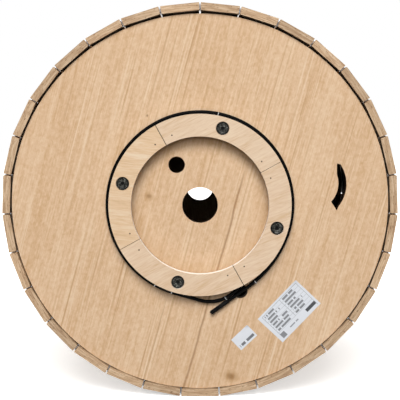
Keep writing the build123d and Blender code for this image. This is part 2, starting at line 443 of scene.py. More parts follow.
@dataclass(frozen=True)
class RotaryPlywood(WoodFinish):
    """Rotary-cut plywood, sanded bare: long wavering streaks, a few joint lines, and layers on its edges."""

    # To the eye: pale, dry and matt, with long soft streaks that hold a faint sheen
    rim: float  # radius of the disc
    corner: float  # inner radius of the ring
    wall_share: float = 0.95  # edges nearer the axis than this share of the rim are walls of holes
    ply: float = 2 * MM
    ply_dark: str = "#B98F62"
    ply_pale: str = "#DDBB92"
    # Painted shade for the walls of the holes
    hole_shade: str = "#2B1E14"
    # The next four paint shade, with a little dust, on the face in the corner under the ring
    dust_and_shade: str = "#8E7657"
    corner_shade_width: float = 34 * MM
    corner_shade_stop: float = 5 * MM
    corner_shade_share: float = 0.3
    line: str = "#B88F64"
    glow: str = "#EDD6B9"
    knots: tuple[Knot, ...] = ()
    seams: tuple[Seam, ...] = ()
    seam_waves: float = 9.0

    def surface(self, tree: Tree) -> dict[str, object]:
        """Draws the veneer, its edges and its marks.

        Args:
            tree: The material's tree.

        Returns:
            Value or node for each of the shader's inputs that it sets.
        """
        place = add(tree, COORDINATES).outputs["Object"]
        broad = self.streaks(tree, place, 60 * MM, 700 * MM, 2.0, 0.4)
        bands = self.streaks(tree, place, 12 * MM, 260 * MM, 3.0, 0.6)
        fibres = self.streaks(tree, place, 2.8 * MM, 70 * MM, 3.0, 0.3)
        mottle = self.streaks(tree, place, 6 * MM, 9 * MM, 3.0, 0.4)
        tone = self.tone(tree, [(broad, 0.2), (bands, 0.26), (fibres, 0.34), (mottle, 0.4)])
        colour = add(tree, RAMP, {"Fac": tone}, [(0.46, self.dark), (0.74, self.pale), (0.6, self.middle)])
        # Thin dark and pale lines stand together in groups, where the knife crossed a year ring
        group = add(tree, RANGE, {
            "Value": self.streaks(tree, place, 46 * MM, 600 * MM, 1.0, 0.3),
            "From Min": 0.4, "From Max": 0.58, "To Min": 0.1,
        })
        lines = self.streaks(tree, place, 4.6 * MM, 420 * MM, 1.5, 0.15)
        for start, full, share, shade in ((0.44, 0.3, 0.7, self.line), (0.57, 0.7, 0.6, self.glow)):
            colour = self.stain(tree, colour, shade, lines, (start, full), (0.0, share), group)
        colour = self.mark(tree, place, self.edges(tree, place, colour))
        return {
            "Base Color": colour, "IOR": 1.46, "Specular IOR Level": 0.12,
            "Roughness": add(tree, RANGE, {"Value": fibres, "To Min": 0.62, "To Max": 0.8}),
            "Normal": add(tree, BUMP, {"Height": fibres, "Distance": 0.3 * MM, "Strength": 0.35}),
        }

    def mark(self, tree: Tree, place: Socket, colour: Node) -> Node:
        """Draws the joint lines and knots.

        Args:
            tree: The material's tree.
            place: Coordinates in metres.
            colour: Colour under them.

        Returns:
            Node with the marked colour.
        """
        turn = (0.0, math.radians(self.lean), 0.0)
        straight = add(tree, MAPPING, {
            "Vector": place, "Location": (0.0, 0.0, self.height), "Rotation": turn,
        }, vector_type="TEXTURE")
        axes = add(tree, AXES, {"Vector": straight})
        waver = add(tree, NOISE, {"W": axes.outputs["Z"], "Scale": self.seam_waves, "Detail": 3.0},
                    noise_dimensions="1D")
        for seam in self.seams:
            shaken = add(tree, MATH, (waver, seam.wander, axes.outputs["X"]), operation="MULTIPLY_ADD")
            off = add(tree, MATH, (shaken, seam.across + seam.wander / 2), operation="SUBTRACT")
            away = add(tree, MATH, (off,), operation="ABSOLUTE")
            reach = add(tree, RANGE, {
                "Value": axes.outputs["Z"], "From Min": seam.top, "From Max": seam.top - seam.fade,
            }, interpolation_type=Fade.SOFT.value)
            colour = self.stain(tree, colour, seam.colour, away, (0.0, seam.width), (seam.strength, 0.0),
                                reach, Fade.SOFT)
        for knot in self.knots:
            spot = add(tree, MAPPING, {
                "Vector": place, "Location": (knot.across, 0.0, self.height + knot.up), "Rotation": turn,
                "Scale": (knot.width, knot.through, knot.length),
            }, vector_type="TEXTURE")
            away = add(tree, VECTOR, (spot,), operation="LENGTH")
            colour = self.stain(tree, colour, knot.colour, away, (knot.core, knot.rim), (knot.strength, 0.0),
                                fade=Fade.SOFT)
        return colour

    def edges(self, tree: Tree, place: Socket, colour: Node) -> Node:
        """Shows the plywood's layers on the rim, painted shade on the walls of the holes, and painted shade
        with a little dust in the corner under the ring.

        Args:
            tree: The material's tree.
            place: Coordinates in metres.
            colour: Colour of the faces.

        Returns:
            Node with the colour of faces and edges.
        """
        depth = add(tree, AXES, {"Vector": place}).outputs["Y"]
        layer = add(tree, MATH, (depth, self.ply), operation="PINGPONG")
        layers = self.stain(tree, self.ply_dark, self.ply_pale, layer, (0.35 * self.ply, 0.65 * self.ply))
        edge = add(tree, MATH, (self.end_on(tree), 0.5), operation="LESS_THAN")
        off = add(tree, VECTOR, (place, ACROSS_AXIS, (0.0, 0.0, -self.height)), operation="MULTIPLY_ADD")
        out = add(tree, VECTOR, (off,), operation="LENGTH")
        # The walls of the holes are painted dark, as shade
        inside = add(tree, MATH, (out, self.wall_share * self.rim), operation="LESS_THAN")
        walls = add(tree, MIX, {0: inside, 6: layers, 7: self.hole_shade}, data_type="RGBA")
        # Painted shade with a little dust: the face darkens in the corner under the ring
        hollow = add(tree, MATH, (out, self.corner + self.corner_shade_stop), operation="LESS_THAN")
        colour = self.stain(tree, colour, self.dust_and_shade, out, (self.corner - self.corner_shade_width, self.corner),
                            (0.0, self.corner_shade_share), hollow, Fade.SOFT)
        return add(tree, MIX, {0: edge, 6: colour, 7: walls}, data_type="RGBA")


@dataclass(frozen=True)
class RingBoard(WoodFinish):
    """Paler sawn board of a ring segment: short fine flecks across it, little figure, and pale sawn edges,
    painted near white as a highlight and dark as shade next to the flange.
    """

    # To the eye: a shade paler than the flange and finely flecked, with edges that are almost white
    face: float  # depth of the ring's face along the axis
    # The edge colour is near white as a painted highlight; the foot colour is painted shade where the wall
    # meets the flange
    edge: str = "#FFFAF2"
    foot: str = "#A88866"
    joint: str = "#1E1610"
    edge_share: float = 0.85
    highlight_depth: float = 12 * MM
    shade_depth: float = 15 * MM

    def surface(self, tree: Tree) -> dict[str, object]:
        """Draws the board's face and its sawn edges.

        Args:
            tree: The material's tree.

        Returns:
            Value or node for each of the shader's inputs that it sets.
        """
        place = add(tree, COORDINATES).outputs["Object"]
        broad = self.streaks(tree, place, 26 * MM, 200 * MM, 2.0, 0.5)
        bands = self.streaks(tree, place, 5 * MM, 60 * MM, 3.0, 0.6)
        flecks = self.streaks(tree, place, 2.2 * MM, 22 * MM, 2.0, 0.2)
        tone = self.tone(tree, [(broad, 0.3), (bands, 0.35), (flecks, 0.35)])
        colour = add(tree, RAMP, {"Fac": tone}, [(0.36, self.dark), (0.64, self.pale), (0.5, self.middle)])
        # The sawn edges are paler than the faces; towards the ring's face they are painted near white as a
        # highlight, and towards the flange dark as shade
        depth = add(tree, MATH, (add(tree, AXES, {"Vector": place}).outputs["Y"],), operation="ABSOLUTE")
        sawn = self.stain(tree, self.foot, self.edge, depth,
                          (self.face - self.shade_depth, self.face - self.highlight_depth))
        # The joints between two boards are dark
        radial = add(tree, MATH, (self.outward(tree, place, self.height)[1],), operation="ABSOLUTE")
        shut = add(tree, MATH, (radial, 0.5), operation="LESS_THAN")
        sawn = add(tree, MIX, {0: shut, 6: sawn, 7: self.joint}, data_type="RGBA")
        return {
            "Base Color": self.stain(tree, colour, sawn, self.end_on(tree), (0.6, 0.4),
                                     (0.0, self.edge_share)),
            "Roughness": add(tree, RANGE, {"Value": flecks, "To Min": 0.62, "To Max": 0.8}),
            "Specular IOR Level": 0.3,
            "Normal": add(tree, BUMP, {"Height": flecks, "Distance": 0.25 * MM, "Strength": 0.3}),
        }


@dataclass(frozen=True)
class SawnPine(Finish):
    """Rough-sawn pine slats: each board its own tone, long grain, brown flecks, and painted shade on the
    inner faces.
    """

    # To the eye: rough and matt, every board a little lighter or darker than the next
    height: float  # of the hoop's middle over the floor
    count: int
    radius: float
    dark: str = "#C29C74"
    middle: str = "#D6B38C"
    pale: str = "#E2C5A2"
    end_dark: str = "#B29172"
    end_middle: str = "#C8A987"
    end_pale: str = "#DABE9F"
    speck: str = "#7C5A3C"
    speck_share: float = 0.8
    # The next three paint shade on the boards' inner faces: its colour, its share round most of the hoop and
    # its share at the bottom
    inner_shade: str = "#0E0906"
    inner_shade_share: float = 0.9
    foot_share: float = 0.55
    # The painted shade on the inner faces is darkest on the side at this angle from the top
    shade_lean: float = 15.0  # degrees from the top to where the hoop stands off most
    shades: tuple[float, float] = (0.86, 1.06)  # of the darkest and the palest board
    apart: float = 3.0  # metres between two boards' patterns

    def surface(self, tree: Tree) -> dict[str, object]:
        """Draws the boards' faces, ends and inner faces.

        Args:
            tree: The material's tree.

        Returns:
            Value or node for each of the shader's inputs that it sets.
        """
        place = add(tree, COORDINATES).outputs["Object"]
        along, board = self.board_places(tree, place)
        fibres = self.pattern(tree, along, (3 * MM, 3 * MM, 90 * MM), 4.0, 0.5, rough=0.62)
        bands = self.pattern(tree, along, (16 * MM, 9 * MM, 420 * MM), 3.0, 1.0)
        tone = self.tone(tree, [(bands, 0.5), (fibres, 0.5)])
        colour = add(tree, RAMP, {"Fac": tone}, [(0.34, self.dark), (0.66, self.pale), (0.5, self.middle)])
        colour = self.insides(tree, place, self.sawn_ends(tree, along, colour))
        shade = add(tree, RANGE, {"Value": board, "To Min": self.shades[0], "To Max": self.shades[1]})
        return {
            "Base Color": add(tree, VECTOR, {0: colour, "Scale": shade}, operation="SCALE"),
            "Roughness": add(tree, RANGE, {"Value": fibres, "To Min": 0.68, "To Max": 0.88}),
            "Specular IOR Level": 0.25,
            "Normal": add(tree, BUMP, {"Height": fibres, "Distance": 0.5 * MM, "Strength": 0.5}),
        }

    def sawn_ends(self, tree: Tree, along: Node, colour: Node) -> Node:
        """Shows the year rings, saw specks and dirt on the boards' ends.

        Args:
            tree: The material's tree.
            along: Place across, through and along the board.
            colour: Colour of the faces.

        Returns:
            Node with the colour of faces and ends.
        """
        rings = self.pattern(tree, along, (34 * MM, 2.6 * MM, 60 * MM), 2.0, 0.6)
        end = add(tree, RAMP, {"Fac": rings},
                  [(0.36, self.end_dark), (0.66, self.end_pale), (0.5, self.end_middle)])
        specks = self.pattern(tree, along, (7 * MM, 2.2 * MM, 9 * MM), 1.0)
        end = self.stain(tree, end, self.speck, specks, (0.27, 0.38), (self.speck_share, 0.0))
        sawn = add(tree, MATH, (self.end_on(tree), 0.5), operation="GREATER_THAN")
        return add(tree, MIX, {0: sawn, 6: colour, 7: end}, data_type="RGBA")

    def insides(self, tree: Tree, place: Socket, colour: Node) -> Node:
        """Paints shade on the boards' inner faces: dark round most of the hoop, lighter towards the bottom.

        Args:
            tree: The material's tree.
            place: Coordinates in metres.
            colour: Colour of the other faces.

        Returns:
            Node with the colour of all faces.
        """
        out, outward = self.outward(tree, place, self.height)
        inner = add(tree, MATH, (outward, -0.5), operation="LESS_THAN")
        # How far each point lies towards the side where the painted shade is darkest; it is lighter opposite,
        # towards the bottom
        shade_side = add(tree, VECTOR, (out, on_circle(1.0, self.shade_lean, 0.0, 0.0)), operation="DOT_PRODUCT")
        return self.stain(tree, colour, self.inner_shade, shade_side, (-0.5, -0.25), (self.foot_share, self.inner_shade_share),
                          inner, Fade.SOFT)

    def board_places(self, tree: Tree, place: Socket) -> tuple[Node, Socket]:
        """Finds each point's place on its own board, with the boards' patterns set apart.

        Args:
            tree: The material's tree.
            place: Coordinates in metres.

        Returns:
            Place across, through and along the board in metres, and a number from 0 to 1 for each board.
        """
        axes = add(tree, AXES, {
            "Vector": add(tree, MAPPING, {"Vector": place, "Location": (0.0, 0.0, -self.height)}),
        })
        angle = add(tree, MATH, (axes.outputs["X"], axes.outputs["Z"]), operation="ARCTAN2")
        from_floor = add(tree, MATH, (angle, math.pi), operation="SUBTRACT")
        boards = add(tree, MATH, (from_floor, self.count / math.tau), operation="MULTIPLY")
        nearest = add(tree, MATH, (boards,), operation="ROUND")
        off = add(tree, MATH, (boards, nearest), operation="SUBTRACT")
        across = add(tree, MATH, (off, math.tau * self.radius / self.count), operation="MULTIPLY")
        squares = [add(tree, MATH, (axes.outputs[axis], 2.0), operation="POWER") for axis in ("X", "Z")]
        through = add(tree, MATH, (add(tree, MATH, squares, operation="ADD"),), operation="SQRT")
        number = add(tree, MATH, (nearest, float(self.count)), operation="FLOORED_MODULO")
        chance = add(tree, CHANCE, {"W": number}, noise_dimensions="1D")
        local = add(tree, POINT, (across, through, axes.outputs["Y"]))
        own = add(tree, VECTOR, (chance.outputs["Color"], (self.apart,) * 3, local), operation="MULTIPLY_ADD")
        return own, chance.outputs["Value"]


@dataclass(frozen=True)
class PlanedPine(Finish):
    """Planed pine of the barrel staves, painted dark as shade inside the barrel, its grain along the axis."""

    # To the eye: smooth and dull, hardly more than a brown shade behind the bore
    # Painted shade: these colours are far darker than raw pine, as the inside of the barrel lies in shade
    dark: str = "#3A2A1B"
    middle: str = "#4A3623"
    pale: str = "#5C4630"

    def surface(self, tree: Tree) -> dict[str, object]:
        """Draws the grain.

        Args:
            tree: The material's tree.

        Returns:
            Value or node for each of the shader's inputs that it sets.
        """
        place = add(tree, COORDINATES).outputs["Object"]
        lines = self.pattern(tree, place, (6 * MM, 240 * MM, 6 * MM), 4.0, 0.8)
        stops = [(0.34, self.dark), (0.68, self.pale), (0.5, self.middle)]
        return {
            "Base Color": add(tree, RAMP, {"Fac": lines}, stops), "Roughness": 0.7,
            "Normal": add(tree, BUMP, {"Height": lines, "Distance": 0.3 * MM, "Strength": 0.4}),
        }


@dataclass(frozen=True)
class BlackOxideSteel(Finish):
    """Black-oxide turned steel: near black, dull, with rubbed turning marks, sockets painted near black as
    shade and painted shade at the heads' rims.
    """

    # To the eye: near black, with a dull grey gleam where keys and hands have rubbed it
    height: float
    circle: float  # radius of the circle that the bolts stand on
    first_angle: float
    socket: float
    head: float
    turning: float = 1.1 * MM  # width of a turning mark
    scratch: float = 0.15 * MM  # depth of the wear
    dish: float = 20.0  # rise over the square of the distance from the middle
    black: str = "#0A0A09"
    middle: str = "#363632"
    bare: str = "#93938C"
    # Painted shade: near black for the sockets
    socket_shade: str = "#060606"
    socket_shade_share: float = 0.95

    def surface(self, tree: Tree) -> dict[str, object]:
        """Draws the worn heads.

        Args:
            tree: The material's tree.

        Returns:
            Value or node for each of the shader's inputs that it sets.
        """
        place = add(tree, COORDINATES).outputs["Object"]
        rubbed = self.pattern(tree, place, (3.4 * MM,) * 3, 3.0, rough=0.7)
        off = self.off_centre(tree, place)
        # Real turning marks are a tenth as wide: these are as coarse as the eye needs
        mark = add(tree, RANGE, {
            "Value": add(tree, MATH, (off, self.turning), operation="PINGPONG"), "From Max": self.turning,
            "To Min": -0.05, "To Max": 0.05,
        })
        # The flat between socket and edge is rubbed bare first
        flat = add(tree, RANGE, {
            "Value": off, "From Min": 0.6 * self.socket, "From Max": 1.3 * self.socket,
            "To Min": -0.12, "To Max": 0.04,
        })
        # Painted shade: the head darkens towards its rim, where it sinks into the counterbore
        edge = add(tree, RANGE, {
            "Value": off, "From Min": 0.74 * self.head, "From Max": 0.97 * self.head, "To Max": -0.2,
        })
        # Wear and painted shade together set the colour, roughness and relief
        wear_and_shade = self.tone(tree, [(rubbed, 1.0), (mark, 1.0), (flat, 1.0), (edge, 1.0)])
        colour = add(tree, RAMP, {"Fac": wear_and_shade}, [(0.4, self.black), (0.74, self.bare), (0.56, self.middle)])
        # The heads are faintly dished
        square = add(tree, MATH, (off, off), operation="MULTIPLY")
        dish = add(tree, MATH, (square, self.dish), operation="MULTIPLY")
        height = add(tree, MATH, (wear_and_shade, self.scratch, dish), operation="MULTIPLY_ADD")
        return {
            # The sockets are painted near black, as shade
            "Base Color": self.stain(tree, colour, self.socket_shade, off, (0.5 * self.socket, 0.9 * self.socket),
                                     (self.socket_shade_share, 0.0)),
            "Metallic": 0.2, "Specular IOR Level": 0.12,
            "Roughness": add(tree, RANGE, {"Value": wear_and_shade, "To Min": 0.66, "To Max": 0.36}),
            "Normal": add(tree, BUMP, {"Height": height, "Distance": 1.0, "Strength": 1.0}),
        }

    def off_centre(self, tree: Tree, place: Socket) -> Node:
        """Finds each point's distance from the nearest of the four bolts' axes.

        Args:
            tree: The material's tree.
            place: Coordinates in metres.

        Returns:
            Node with the distance in metres.
        """
        quarter = math.pi / 2
        turned = add(tree, MAPPING, {
            "Vector": place, "Location": (0.0, 0.0, self.height),
            "Rotation": (0.0, math.radians(self.first_angle), 0.0),
        }, vector_type="TEXTURE")
        axes = add(tree, AXES, {"Vector": turned})
        angle = add(tree, MATH, (axes.outputs["X"], axes.outputs["Z"]), operation="ARCTAN2")
        shifted = add(tree, MATH, (angle, quarter / 2), operation="ADD")
        nearest = add(tree, MATH, (shifted, quarter), operation="SNAP")
        aways = []
        for turn, axis in (("SINE", "X"), ("COSINE", "Z")):
            share = add(tree, MATH, (nearest,), operation=turn)
            aways.append(add(tree, MATH, (share, -self.circle, axes.outputs[axis]), operation="MULTIPLY_ADD"))
        return add(tree, VECTOR, (add(tree, POINT, {"X": aways[0], "Z": aways[1]}),), operation="LENGTH")


@dataclass(frozen=True)
class GalvanisedWire(Finish):
    """Drawn galvanised wire: bright grey zinc, slightly clouded."""

    # To the eye: a bright, cold thread of metal, too clouded to glitter
    colour: str
    shade: str
    metal: float = 1.0

    def surface(self, tree: Tree) -> dict[str, object]:
        """Draws the clouded zinc.

        Args:
            tree: The material's tree.

        Returns:
            Value or node for each of the shader's inputs that it sets.
        """
        place = add(tree, COORDINATES).outputs["Object"]
        clouds = self.pattern(tree, place, (4 * MM,) * 3, 3.0)
        return {
            "Base Color": add(tree, RAMP, {"Fac": clouds}, [(0.3, self.shade), (0.62, self.colour)]),
            "Metallic": self.metal,
            "Roughness": add(tree, RANGE, {"Value": clouds, "To Min": 0.24, "To Max": 0.46}),
        }


@dataclass(frozen=True)
class CableSheath(Finish):
    """Extruded black polyethylene: satin black, faintly streaked, with a little handling dust."""

    # To the eye: deep black, with one soft line of light along each turn
    black: str = "#040404"
    dust_and_shade: str = "#0C0D0E"
    rough: float = 0.44

    def surface(self, tree: Tree) -> dict[str, object]:
        """Draws the dusty sheath.

        Args:
            tree: The material's tree.

        Returns:
            Value or node for each of the shader's inputs that it sets.
        """
        place = add(tree, COORDINATES).outputs["Object"]
        films = self.pattern(tree, place, (14 * MM,) * 3, 5.0, rough=0.65)
        return {
            "Base Color": add(tree, RAMP, {"Fac": films}, [(0.45, self.black), (0.8, self.dust_and_shade)]),
            "Roughness": add(tree, RANGE, {
                "Value": films, "To Min": self.rough - 0.06, "To Max": self.rough + 0.16,
            }),
            "IOR": 1.51, "Specular IOR Level": 0.04,
            "Normal": add(tree, BUMP, {"Height": films, "Distance": 0.15 * MM, "Strength": 0.25}),
        }


@dataclass(frozen=True)
class Patch:
    """A patch of print on a label, in shares of the sheet: plain, or rows of broken bars where entries go."""

    left: float
    right: float
    low: float
    high: float
    strength: float
    rows: int = 0


@dataclass(frozen=True)
class PaperLabel(Finish):
    """Matt coated paper with a faint ruled table and plain grey bars where entries go."""

    # To the eye: flat, cool white with hardly any gloss, greyed by fine print
    patches: tuple[Patch, ...]
    words: float = 40.0  # across the sheet
    paper: str = "#DDE0E6"
    ink: str = "#1E2024"
    blank_share: float = 0.22
    shortest: float = 0.6  # share of the patch's width
    bar_share: float = 0.56  # of the row's height

    def surface(self, tree: Tree) -> dict[str, object]:
        """Draws the print on the paper.

        Args:
            tree: The material's tree.

        Returns:
            Value or node for each of the shader's inputs that it sets.
        """
        sheet = add(tree, AXES, {"Vector": add(tree, "ShaderNodeUVMap")})
        across, up = sheet.outputs["X"], sheet.outputs["Y"]
        ink = 0.0
        for patch in self.patches:
            mask = patch.strength
            for place, low, high in ((across, patch.left, patch.right), (up, patch.low, patch.high)):
                inside = add(tree, MATH, (place, (low + high) / 2, (high - low) / 2), operation="COMPARE")
                mask = add(tree, MATH, (mask, inside), operation="MULTIPLY")
            if patch.rows:
                mask = add(tree, MATH, (mask, self.bars(tree, across, up, patch)), operation="MULTIPLY")
            ink = add(tree, MATH, (mask, ink), operation="MAXIMUM")
        colour = add(tree, MIX, {0: ink, 6: self.paper, 7: self.ink}, data_type="RGBA")
        return {"Base Color": colour, "Roughness": 0.55}

    def bars(self, tree: Tree, across: Socket, up: Socket, patch: Patch) -> Node:
        """Draws rows of plain bars, broken by chance, with ragged ends.

        Args:
            tree: The material's tree.
            across: Place along the sheet.
            up: Place up the sheet.
            patch: The patch that they fill.

        Returns:
            Node with 1 on a bar and 0 elsewhere.
        """
        scaled = add(tree, RANGE, {
            "Value": up, "From Min": patch.low, "From Max": patch.high, "To Max": float(patch.rows),
        })
        row = add(tree, MATH, (scaled,), operation="FLOOR")
        within = add(tree, MATH, (scaled,), operation="FRACT")
        apart = add(tree, MATH, (row, patch.left), operation="ADD")
        reach = add(tree, RANGE, {
            "Value": add(tree, CHANCE, {"W": apart}, noise_dimensions="1D"),
            "To Min": (1 - self.shortest) * patch.left + self.shortest * patch.right, "To Max": patch.right,
        })
        short = add(tree, MATH, (across, reach), operation="LESS_THAN")
        words = add(tree, MATH, (across, self.words), operation="MULTIPLY")
        word = add(tree, MATH, (words,), operation="FLOOR")
        chance = add(tree, CHANCE, {"Vector": add(tree, POINT, (word, row))}, noise_dimensions="2D")
        whole = add(tree, MATH, (chance, self.blank_share), operation="GREATER_THAN")
        drawn = add(tree, MATH, (short, whole), operation="MULTIPLY")
        bar = add(tree, MATH, (within, 0.5, self.bar_share / 2), operation="COMPARE")
        return add(tree, MATH, (drawn, bar), operation="MULTIPLY")


@dataclass(frozen=True)
class StudioFloor(Finish):
    """Matt white sweep: it takes the drum's shadow, and far from it reads as white to the camera."""

    # To the eye: no floor to speak of, only the drum's soft shadow
    near: float = 0.7  # metres from the drum's middle
    far: float = 2.6
    near_glow: float = 0.45
    far_glow: float = 0.95
    white: str = "#F4F3F1"
    grey: str = "#54524F"

    def surface(self, tree: Tree) -> dict[str, object]:
        """Draws the sweep.

        Args:
            tree: The material's tree.

        Returns:
            Value or node for each of the shader's inputs that it sets.
        """
        path = add(tree, "ShaderNodeLightPath")
        seen = path.outputs["Is Camera Ray"]
        for ray in ("Is Glossy Ray", "Is Transmission Ray"):
            seen = add(tree, MATH, (seen, path.outputs[ray]), operation="MAXIMUM")
        # Less glow beside the drum leaves its shadow to be seen
        away = add(tree, VECTOR, (add(tree, COORDINATES).outputs["Object"],), operation="LENGTH")
        level = add(tree, RANGE, {
            "Value": away, "From Min": self.near, "From Max": self.far,
            "To Min": self.near_glow, "To Max": self.far_glow,
        }, interpolation_type=Fade.SOFT.value)
        # What it throws back at the drum is a plain grey floor's share
        return {
            "Base Color": add(tree, MIX, {0: seen, 6: self.grey, 7: self.white}, data_type="RGBA"),
            "Roughness": 0.9, "Specular IOR Level": 0.0, "Emission Color": "#FFFFFF",
            "Emission Strength": add(tree, MATH, (seen, level), operation="MULTIPLY"),
        }


# ------------------------------------------------------------------------------------- sub-assemblies


@dataclass
class Drum:
    """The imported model: its CAD nodes, and places on it that the sub-assemblies share."""

    nodes: Mapping[str, Piece]
    height: float = field(init=False)
    flange_radius: float = field(init=False)
    face: float = field(init=False)
    ring_face: float = field(init=False)

    def __post_init__(self) -> None:
        """Reads the axis height, the flange and the ring's face from the frame."""
        low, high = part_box("flange_front")
        self.height = (low.z + high.z) / 2
        self.flange_radius = (high.x - low.x) / 2
        self.face = low.y
        self.ring_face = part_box("ring_segment_front_1")[0].y

    def dress(self, name: str, material: Material) -> None:
        """Gives a CAD node its finish.

        Args:
            name: Name of the node.
            material: Its finish.
        """
        mesh = self.nodes[name].data
        mesh.materials.clear()
        mesh.materials.append(material)
        LOG.info("%s: CAD node in %s", name, material.name)


@dataclass
class Flanges:
    """The two plywood discs."""

    drum: Drum
    front_lean: float = 15.44
    back_lean: float = -8.0
    ring_inner: float = 145.5 * MM
    dark: str = "#CCA67D"
    middle: str = "#DBB996"
    pale: str = "#E6C9A8"
    back_shift: float = 2.0
    halo: str = "#A87C45"
    heart: str = "#7C562C"
    # Near-black paint for a disc of painted shade round a hole in the front flange
    stain: str = "#0A0908"
    knots: tuple[Knot, ...] = (
        Knot(67 * MM, -374 * MM, 32 * MM, 24 * MM, 0.5, colour=halo),
        Knot(67 * MM, -374 * MM, 17 * MM, 13 * MM, 0.5, colour=heart),
        Knot(-108.5 * MM, 18 * MM, 20 * MM, 18 * MM, 0.4, colour=halo),
        Knot(-108.5 * MM, 19 * MM, 10 * MM, 8 * MM, 0.4, colour=heart),
        Knot(-111 * MM, 189 * MM, 4 * MM, 5 * MM, 0.6),
        # Painted shade: a near-black disc round the hole, so that the hole reads dark
        Knot(86.6 * MM, -185.6 * MM, 16.6 * MM, 16.6 * MM, 0.98, core=0.9, rim=1.0, colour=stain),
    )
    front_seams: tuple[Seam, ...] = (
        Seam(73 * MM, 115 * MM, 3.8 * MM, 0.6), Seam(-15.5 * MM, -190 * MM, 2 * MM, 0.3),
    )
    back_seams: tuple[Seam, ...] = (Seam(-120 * MM, 400 * MM, 1.4 * MM, 0.5),)

    def finish(self) -> None:
        """Dresses both discs, each with a veneer of its own."""
        shared = dict(height=self.drum.height, rim=self.drum.flange_radius, corner=self.ring_inner,
                      dark=self.dark, middle=self.middle, pale=self.pale)
        front = RotaryPlywood("rotary_cut_plywood_front", lean=self.front_lean, shift=0.0, knots=self.knots,
                              seams=self.front_seams, **shared)
        back = RotaryPlywood("rotary_cut_plywood_back", lean=self.back_lean, shift=self.back_shift,
                             seams=self.back_seams, **shared)
        self.drum.dress("flange_front", front.build())
        self.drum.dress("flange_back", back.build())


@dataclass
class RingFittings:
    """The ring of four boards on each flange, with the nails that hold the boards."""

    drum: Drum
    joint_angle: float = 61.2
    nail_offset: float = 7.2
    nail_circle: float = 159 * MM
    nail_radius: float = 1.7 * MM
    nail_proud: float = 0.25 * MM
    nail_tilt: float = 0.06
    nail_turn: float = 3.1
    nail_seed: int = 4
    nail_sides: int = 12
    nail_rings: int = 6
    board_shift: float = 0.7
    dark: str = "#D2B18B"
    pale: str = "#E8D1B5"
    boards: tuple[tuple[float, str], ...] = (
        (64.0, "#E0C5A8"), (68.0, "#DFC3A6"), (62.0, "#DFC3A6"), (96.0, "#E0C09C"),
    )

    def finish(self) -> None:
        """Dresses each board with a grain and shade of its own."""
        for number, (lean, middle) in enumerate(self.boards, 1):
            board = RingBoard(f"sawn_ring_board_{number}", height=self.drum.height, lean=lean, dark=self.dark,
                              middle=middle, pale=self.pale, shift=self.board_shift * number,
                              face=-self.drum.ring_face).build()
            self.drum.dress(f"ring_segment_front_{number}", board)
            self.drum.dress(f"ring_segment_back_{number}", board)

    def nail_tree(self) -> Tree:
        """Builds the tree that sets a domed nail head at every point, each turned by chance.

        Returns:
            The tree.
        """
        tree, sizes = open_tree("nail_heads", {
            "Nail Radius": Size.LENGTH, "Proud": Size.LENGTH, "Finish": Size.FINISH,
        })
        radius = sizes.outputs["Nail Radius"]
        head = add(tree, "GeometryNodeMeshUVSphere", {
            "Segments": self.nail_sides, "Rings": self.nail_rings, "Radius": radius,
        })
        flat = add(tree, MATH, (sizes.outputs["Proud"], radius), operation="DIVIDE")
        most = Vector((self.nail_tilt, self.nail_turn, self.nail_tilt))
        tilt = add(tree, "FunctionNodeRandomValue", {0: -most, 1: most, "Seed": self.nail_seed},
                   data_type="FLOAT_VECTOR")
        nails = add(tree, "GeometryNodeInstanceOnPoints", {
            "Points": sizes.outputs["Geometry"], "Instance": head,
            "Rotation": add(tree, "FunctionNodeEulerToRotation", {"Euler": tilt}),
            "Scale": add(tree, POINT, (1.0, flat, 1.0)),
        })
        close_tree(tree, nails, sizes.outputs["Finish"])
        return tree

    def build(self) -> None:
        """Drives two nails beside each joint, on the front and on the back."""
        steel = GalvanisedWire("dulled_nail_steel", colour="#5E5145", shade="#33291F").build()
        tree = self.nail_tree()
        for side in Side:
            depth = -side.value * self.drum.ring_face
            places = [on_circle(self.nail_circle, self.joint_angle + 90 * joint + step * self.nail_offset,
                                depth, self.drum.height) for joint in range(4) for step in (-1, 1)]
            name = f"ring_nails_{side.name.lower()}"
            nails = grow(name, tree, points_mesh(name + "_places", places), {
                "Nail Radius": self.nail_radius, "Proud": self.nail_proud, "Finish": steel,
            })
            ride(nails)


@dataclass
class Bolts:
    """The four through bolts and the sleeve nuts on the back."""

    drum: Drum
    first_angle: float = 16.2
    socket: float = 4 * MM
    head: float = 13.2 * MM

    def finish(self) -> None:
        """Dresses the bolts and nuts."""
        low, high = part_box("through_bolt_1")
        circle = math.hypot((low.x + high.x) / 2, (low.z + high.z) / 2 - self.drum.height)
        steel = BlackOxideSteel("black_oxide_steel", height=self.drum.height, circle=circle,
                                first_angle=self.first_angle, socket=self.socket, head=self.head).build()
        for number in range(1, 5):
            self.drum.dress(f"through_bolt_{number}", steel)
            self.drum.dress(f"sleeve_nut_{number}", steel)


